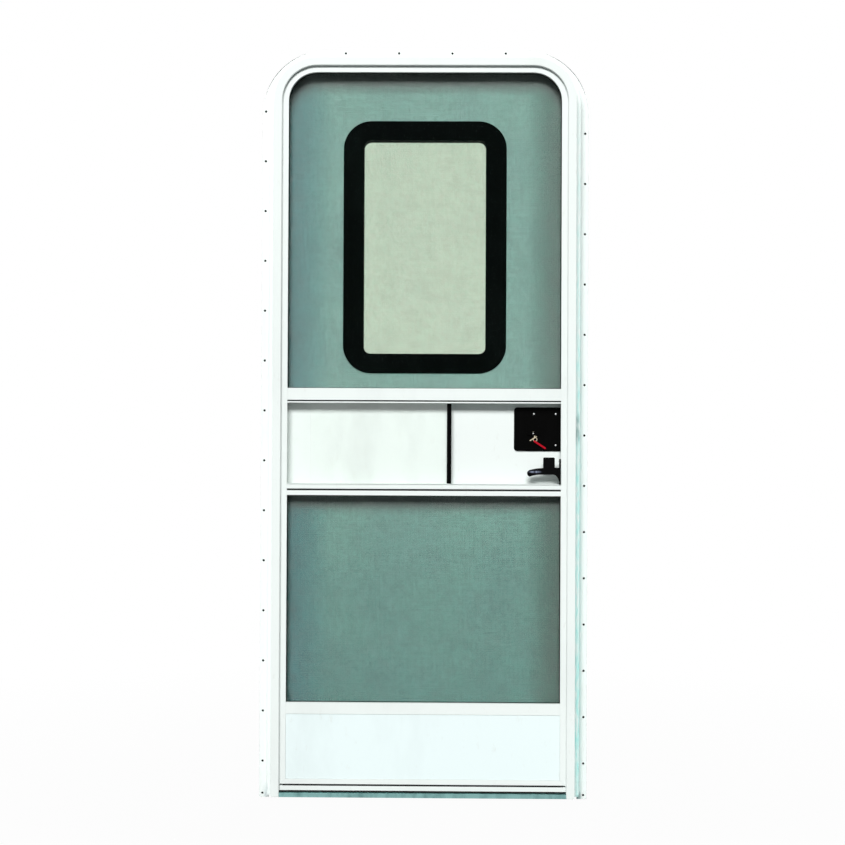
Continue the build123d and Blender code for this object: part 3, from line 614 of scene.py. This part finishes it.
def block(shape, low, high):
    """A box between two corners."""
    low, high = Vector(low), Vector(high)
    size = Matrix.Diagonal((*(high - low), 1))
    bmesh.ops.create_cube(shape, size=1, matrix=Matrix.Translation((low + high) / 2) @ size)


# Fly screens: flat yarns across and down, cut to the bend of the head


def bend_cut(past, radius):
    """How much shorter a yarn is at this distance past the start of a bent corner."""
    if past <= 0:
        return 0
    return radius - math.sqrt(max(radius * radius - past * past, 0))


def uneven_half(yarn, place):
    """Half the width of one yarn, which differs a little from its neighbours."""
    return yarn / 2 * (1 + 0.2 * math.sin(place * 12.99) * math.cos(place * 2.37))


def fly_screen(node_name, yarn, bent_head):
    """A screen of crossing yarns in the place of a mesh node."""
    low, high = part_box(node_name)
    radius = high.x - (HALF_WIDTH - BEND_INSET) if bent_head else 0
    layer = (high.y - low.y) * 0.55
    shape = bmesh.new()
    count = round((high.x - low.x) / YARN_PITCH_ACROSS)
    step = (high.x - low.x) / count
    for place in range(count):
        x = low.x + step * (place + 0.5)
        half = uneven_half(yarn, place)
        cut = bend_cut(abs(x) - (high.x - radius), radius)
        block(shape, (x - half, low.y, low.z), (x + half, low.y + layer, high.z - cut))
    count = round((high.z - low.z) / YARN_PITCH_DOWN)
    step = (high.z - low.z) / count
    for place in range(count):
        z = low.z + step * (place + 0.5)
        half = uneven_half(yarn, place)
        cut = bend_cut(z - (high.z - radius), radius)
        block(shape, (low.x + cut, high.y - layer, z - half), (high.x - cut, high.y, z + half))
    name = node_name.replace("mesh", "yarns")
    piece = hand_over(shape, name, "screen_door", finishes["fly_mesh"])
    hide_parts(node_name)


fly_screen("upper_screen_mesh", 0.48 * MM, True)
fly_screen("lower_screen_mesh", 0.53 * MM, False)

# Seals and trim that run up a leg, round the head and down the other leg


def d_section(shape, x, base_y, width, height, sink, z):
    """A face with a flat foot and a round back, standing on base_y."""
    before = set(shape.faces)
    tall = height - sink
    round_form = Matrix.Translation((x, base_y + sink, z)) @ Matrix.Diagonal((width / 2, tall, 1, 1))
    bmesh.ops.create_circle(shape, cap_ends=True, segments=18, radius=1, matrix=round_form)
    made = [face for face in shape.faces if face not in before]
    parts = made + list(made[0].edges) + list(made[0].verts)
    hair = 0.001 * MM
    bmesh.ops.bisect_plane(
        shape,
        geom=parts,
        plane_co=(x, base_y + hair, z),
        plane_no=(0, 1, 0),
        clear_inner=True,
    )
    return [face for face in shape.faces if face not in before]


def draw_out(shape, faces, travel):
    """Extrudes an end face by a travel and returns the new end face."""
    grown = bmesh.ops.extrude_face_region(shape, geom=faces)["geom"]
    verts = [part for part in grown if isinstance(part, bmesh.types.BMVert)]
    bmesh.ops.translate(shape, verts=verts, vec=travel)
    return [part for part in grown if isinstance(part, bmesh.types.BMFace)]


def draw_round(shape, faces, centre, steps):
    """Bends an end face a quarter turn over the head and returns the new end face."""
    parts = set(faces)
    for face in faces:
        parts.update(face.edges)
        parts.update(face.verts)
    turned = bmesh.ops.spin(
        shape,
        geom=list(parts),
        cent=centre,
        axis=(0, 1, 0),
        dvec=(0, 0, 0),
        angle=math.radians(90),
        steps=steps,
        use_merge=False,
    )
    return [part for part in turned["geom_last"] if isinstance(part, bmesh.types.BMFace)]


def run_round(shape, inset, base_y, width, height, sink, low, breaks, top=HEAD_TOP, bend=BEND_INSET):
    """Draws a section round the doorway, broken at the hinges on the left leg."""
    left = inset - HALF_WIDTH
    bend_x = HALF_WIDTH - bend
    bend_z = top - bend
    start = low
    for gap_low, gap_high in breaks:
        face = d_section(shape, left, base_y, width, height, sink, start)
        draw_out(shape, face, (0, 0, gap_low - start))
        start = gap_high
    face = d_section(shape, left, base_y, width, height, sink, start)
    face = draw_out(shape, face, (0, 0, bend_z - start))
    face = draw_round(shape, face, (-bend_x, 0, bend_z), BEND_STEPS)
    face = draw_out(shape, face, (2 * bend_x, 0, 0))
    face = draw_round(shape, face, (bend_x, 0, bend_z), BEND_STEPS)
    draw_out(shape, face, (0, 0, low - bend_z))


hinge_names = ("bottom", "middle", "top")
leaf_clearance = 1 * MM
seal_clearance = 4 * MM
hinge_levels = []
leaf_breaks = []
seal_breaks = []
for hinge_name in hinge_names:
    leaf_low, leaf_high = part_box(f"hinge_jamb_leaf_{hinge_name}")
    neck_low, neck_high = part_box(f"hinge_screen_leaf_{hinge_name}")
    hinge_levels.append((leaf_low.z + leaf_high.z) / 2)
    leaf_breaks.append((leaf_low.z - leaf_clearance, leaf_high.z + leaf_clearance))
    seal_breaks.append((neck_low.z - seal_clearance, neck_high.z + seal_clearance))

bulb_low, bulb_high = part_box("jamb_bulb_seal")
bulb_tall = bulb_high.y - bulb_low.y
bulb_inset, bulb_width, bulb_sink = 30.5 * MM, 8 * MM, 2.6 * MM
bulb = bmesh.new()
run_round(bulb, bulb_inset, bulb_low.y, bulb_width, bulb_tall, bulb_sink, bulb_low.z, seal_breaks)
bulb_seal = hand_over(bulb, "bulb_seal", "jamb", finishes["seal_rubber"])
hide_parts("jamb_bulb_seal")

brush_low, brush_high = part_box("jamb_pile_seal")
brush_tall = brush_high.y - brush_low.y
brush_inset, brush_width, brush_sink = 48.5 * MM, 5 * MM, 0.6 * MM
brush = bmesh.new()
run_round(brush, brush_inset, brush_low.y, brush_width, brush_tall, brush_sink, brush_low.z, [])
brush_seal = hand_over(brush, "brush_seal", "jamb", finishes["pile"])
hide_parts("jamb_pile_seal")

# Dark beads in the grooves of the three rails, which also stand in for the shade in the grooves, each with
# the height of its top and its width
bead_half = 346.5 * MM
bead_front = -45.6 * MM
bead_back = -43 * MM
beads = bmesh.new()
for bead_height, bead_width in ((30.8, 4.4), (760.6, 4.4), (980.4, 3.4)):
    block(
        beads,
        (-bead_half, bead_front, level(bead_height - bead_width)),
        (bead_half, bead_back, level(bead_height)),
    )
bead_middle = (bead_front + bead_back) / 2
front_edges = [edge for edge in beads.edges if all(vert.co.y < bead_middle for vert in edge.verts)]
round_off(beads, front_edges, 0.8 * MM, 3)
hand_over(beads, "rail_beads_and_shade", "screen_door", finishes["seal_rubber"])

# A dark sweep under the screen door's foot, which also stands in for the shade in the gap above the
# threshold
rail_low, rail_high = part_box("screen_bottom_rail")
sweep_drop = 4.6 * MM
sweep_end = 16 * MM
sweep_front, sweep_back = 0.6 * MM, 3 * MM
sweep = bmesh.new()
block(
    sweep,
    (rail_low.x + sweep_end, rail_low.y + sweep_front, rail_low.z - sweep_drop),
    (rail_high.x - sweep_end, rail_low.y + sweep_back, rail_low.z),
)
sweep_middle = rail_low.z - sweep_drop / 2
lower_edges = [edge for edge in sweep.edges if all(vert.co.z < sweep_middle for vert in edge.verts)]
round_off(sweep, lower_edges, 0.9 * MM, 3)
hand_over(sweep, "foot_sweep_and_shade", "screen_door", finishes["seal_rubber"])

cover_low = cad_box[0].z + 1 * MM
flange_face = 2.5 * MM
cover_inset, cover_width, cover_tall = 6.5 * MM, 11 * MM, 1.2 * MM
cover = bmesh.new()
run_round(
    cover,
    cover_inset,
    flange_face,
    cover_width,
    cover_tall,
    0,
    cover_low,
    leaf_breaks,
    FLANGE_TOP,
    COVER_BEND,
)
hand_over(cover, "screw_cover_strip", "jamb", finishes["black_plastic"])

# Screws with a domed head and a square socket


def ring_edges(shape, segments, radius, z):
    """The edges of a ring of this many sides."""
    made = bmesh.ops.create_circle(
        shape,
        segments=segments,
        radius=radius,
        matrix=Matrix.Translation((0, 0, z)),
    )
    return list({edge for vert in made["verts"] for edge in vert.link_edges})


def screw_shape(radius, height):
    """A mesh of one screw head, standing on z = 0."""
    shape = bmesh.new()
    sides = 18
    outer = ring_edges(shape, sides, radius, 0)
    shoulder = ring_edges(shape, sides, radius, height * 0.35)
    dome = ring_edges(shape, sides, radius * 0.75, height * 0.85)
    crown = ring_edges(shape, sides, radius * 0.5, height)
    socket = ring_edges(shape, 4, radius * 0.36, height)
    depth = ring_edges(shape, 4, radius * 0.33, height * 0.35)
    rings = [outer, shoulder, dome, crown, socket, depth]
    for first, second in zip(rings, rings[1:]):
        bmesh.ops.bridge_loops(shape, edges=first + second)
    bmesh.ops.edgeloop_fill(shape, edges=depth)
    bmesh.ops.edgeloop_fill(shape, edges=outer)
    bmesh.ops.recalc_face_normals(shape, faces=shape.faces)
    mesh = bpy.data.meshes.new("screw_shape")
    shape.to_mesh(mesh)
    shape.free()
    return mesh


def set_screws(name, body, slot_name, places, facing, radius, height):
    """Screws of one size, set on a face that looks in the facing direction."""
    pattern = screw_shape(radius * MM, height * MM)
    turn = Vector(facing).to_track_quat("Z", "Y").to_matrix().to_4x4()
    shape = bmesh.new()
    for count, place in enumerate(places):
        before = len(shape.verts)
        shape.from_mesh(pattern)
        shape.verts.ensure_lookup_table()
        spin_angle = Matrix.Rotation(count * 1.1, 4, "Z")
        move = Matrix.Translation(place) @ turn @ spin_angle
        bmesh.ops.transform(shape, matrix=move, verts=shape.verts[before:])
    bpy.data.meshes.remove(pattern)
    return hand_over(shape, name, body, finishes[slot_name])


def at_hinges(x, y, offsets):
    """Places in millimetres on a leaf, above and below the middle of each hinge."""
    return [
        Vector((x * MM, y * MM, middle + offset * MM))
        for middle in hinge_levels
        for offset in offsets
    ]


def near_ends(x, low, high, margin):
    """Two places on the face at x, this many millimetres from the ends of a plate."""
    middle = (low.y + high.y) / 2
    return [Vector((x, middle, z)) for z in (low.z + margin * MM, high.z - margin * MM)]


living_side = (0, -1, 0)
outside = (0, 1, 0)
doorway_side = (-1, 0, 0)
plate_low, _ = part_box("lock_inner_plate")
lock_screws = [
    Vector((x * MM, plate_low.y, level(height)))
    for x, height in ((273.5, 948.7), (328, 948.7), (328, 870.8))
]
set_screws("lock_plate_screws", "entry_door", "steel", lock_screws, living_side, 2.5, 1.4)
turn_low, turn_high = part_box("lock_thumb_turn")
turn_middle = (turn_low + turn_high) / 2
turn_screw = Vector((turn_middle.x, turn_low.y, turn_middle.z))
set_screws("thumb_turn_screw", "entry_door", "steel", [turn_screw], living_side, 1.7, 0.7)
jamb_screws = at_hinges(-402, 4.5, (-33, 0, 33))
set_screws("hinge_jamb_screws", "jamb", "steel", jamb_screws, outside, 3.1, 1.6)
door_screws = at_hinges(-366, 10, (-20, 0, 20))
set_screws("hinge_door_screws", "entry_door", "steel", door_screws, outside, 3.1, 1.6)
screen_screws = at_hinges(-355, -27.5, (-9, 9))
set_screws("hinge_screen_screws", "screen_door", "steel", screen_screws, outside, 2.6, 1)
strike_low, strike_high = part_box("latch_strike_plate")
strike_screws = near_ends(strike_low.x, strike_low, strike_high, 9)
screen_strike_low, screen_strike_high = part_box("screen_strike_plate")
strike_screws += near_ends(screen_strike_low.x, screen_strike_low, screen_strike_high, 7)
set_screws("strike_screws", "jamb", "steel", strike_screws, doorway_side, 2.4, 0.5)
base_low, base_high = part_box("screen_latch_base")
latch_face = base_high.x - 4.3 * MM
latch_screws = near_ends(latch_face, base_low, base_high, 5)
set_screws("latch_base_screws", "screen_door", "steel", latch_screws, doorway_side, 2.2, 1)

# Key slot in the outer cylinder
cylinder_low, cylinder_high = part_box("lock_key_cylinder")
key_middle = (cylinder_low + cylinder_high) / 2
slot_half = Vector((0.8 * MM, 0, 4 * MM))
slot_face = Vector((key_middle.x, cylinder_high.y, key_middle.z))
slot_foot = Vector((0, 0.2 * MM, 0))
slot_rim = Vector((0, 0.1 * MM, 0))
key_slot = bmesh.new()
block(key_slot, slot_face - slot_half - slot_foot, slot_face + slot_half + slot_rim)
corners = [edge for edge in key_slot.edges if abs((edge.verts[0].co - edge.verts[1].co).y) > slot_foot.y]
round_off(key_slot, corners, 0.5 * MM, 2)
hand_over(key_slot, "key_slot", "entry_door", finishes["black_plastic"])

# Camera at the photograph's viewing angle, lamps and floor


def set_camera():
    """The camera as fitted to the photograph's frame of 845 by 845."""
    place = Vector((44.3, -3865.2, -966.6)) * MM
    yaw = math.radians(-0.719)
    pitch = math.radians(0.624)
    roll = math.radians(0.255)
    look = Vector((math.sin(yaw) * math.cos(pitch), math.cos(yaw) * math.cos(pitch), math.sin(pitch)))
    camera = bpy.data.objects.new("camera", bpy.data.cameras.new("camera"))
    scene.collection.objects.link(camera)
    camera.rotation_mode = "QUATERNION"
    camera.location = place
    camera.rotation_quaternion = look.to_track_quat("-Z", "Y") @ Quaternion((0, 0, 1), roll)
    frame_width = 845
    focal_length = 1542.2
    camera.data.sensor_width = 36
    camera.data.lens = focal_length / frame_width * camera.data.sensor_width
    camera.data.clip_end = 60
    scene.camera = camera


def add_lamp(name, direction, distance, width, height, power, colour=(1, 1, 1)):
    """A soft lamp that faces the middle of the door."""
    lamp = bpy.data.lights.new(name, "AREA")
    lamp.shape = "RECTANGLE"
    lamp.size = width
    lamp.size_y = height
    lamp.energy = power
    lamp.color = colour
    stand = bpy.data.objects.new(name, lamp)
    scene.collection.objects.link(stand)
    middle = Vector((0, 0, level(925)))
    outward = Vector(direction).normalized()
    stand.location = middle + outward * distance
    stand.rotation_mode = "QUATERNION"
    stand.rotation_quaternion = (-outward).to_track_quat("-Z", "Y")


def white_to_sight(tree):
    """A mask that is 1 for what the camera sees straight, in gloss or through glass."""
    path = tree.nodes.new("ShaderNodeLightPath")
    seen = reckon(tree, "ADD", path.outputs["Is Camera Ray"], path.outputs["Is Glossy Ray"])
    seen = reckon(tree, "ADD", seen, path.outputs["Is Transmission Ray"])
    return reckon(tree, "SUBTRACT", seen, path.outputs["Diffuse Depth"])


def set_world(strength, colour):
    """An even pale surround that looks white and lights softly."""
    world = bpy.data.worlds.new("studio")
    scene.world = world
    world.use_nodes = True
    tree = world.node_tree
    tree.nodes.clear()
    output = tree.nodes.new("ShaderNodeOutputWorld")
    soft = add_node(tree, "ShaderNodeBackground", Color=colour, Strength=strength)
    white = add_node(tree, "ShaderNodeBackground", Color=(1, 1, 1, 1), Strength=1)
    mix_shaders(tree, white_to_sight(tree), soft, white, output)


def lay_floor(side, drop):
    """A pale floor under the door, near white to sight and with a soft shadow."""
    finish, tree, shader, output = new_finish("pale_floor")
    pale = blend_colours(tree, noise(tree, 3, 4), (0.1, 0.11, 0.11, 1), (0.13, 0.14, 0.14, 1))
    tree.links.new(pale, shader.inputs["Base Color"])
    shader.inputs["Roughness"].default_value = 0.9
    glow = add_node(tree, "ShaderNodeEmission", Color=(1, 1, 1, 1), Strength=1)
    reach = tree.nodes.new("ShaderNodeVectorMath")
    reach.operation = "LENGTH"
    tree.links.new(place_of(tree, scale=(1, 1, 0)), reach.inputs[0])
    white_share = spread(tree, reach.outputs["Value"], 0.7, 2.4, 0.97, 1)
    share = reckon(tree, "MULTIPLY", white_to_sight(tree), white_share)
    mix_shaders(tree, share, shader, glow, output)
    sheet = bmesh.new()
    bmesh.ops.create_grid(sheet, x_segments=2, y_segments=2, size=side / 2)
    bmesh.ops.translate(sheet, verts=sheet.verts, vec=(0, 0, cad_box[0].z - drop))
    mesh = bpy.data.meshes.new("floor")
    sheet.to_mesh(mesh)
    sheet.free()
    mesh.materials.append(finish)
    floor = bpy.data.objects.new("floor", mesh)
    scene.collection.objects.link(floor)


scene.view_settings.view_transform = "Standard"
set_camera()
set_world(strength=0.008, colour=(0.6, 1, 0.95, 1))
add_lamp("key_lamp", (-0.12, -1, 0.75), distance=60, width=36, height=16, power=47300, colour=(1, 1, 0.99))
add_lamp("back_lamp", (0.35, 1, 0.7), distance=30, width=14, height=10, power=10500)
add_lamp("hinge_side_lamp", (-1, 0.12, 0.25), distance=30, width=6, height=10, power=2500)
add_lamp("lock_side_lamp", (1, 0.12, 0.25), distance=30, width=6, height=10, power=2500)
lay_floor(side=30, drop=2 * MM)
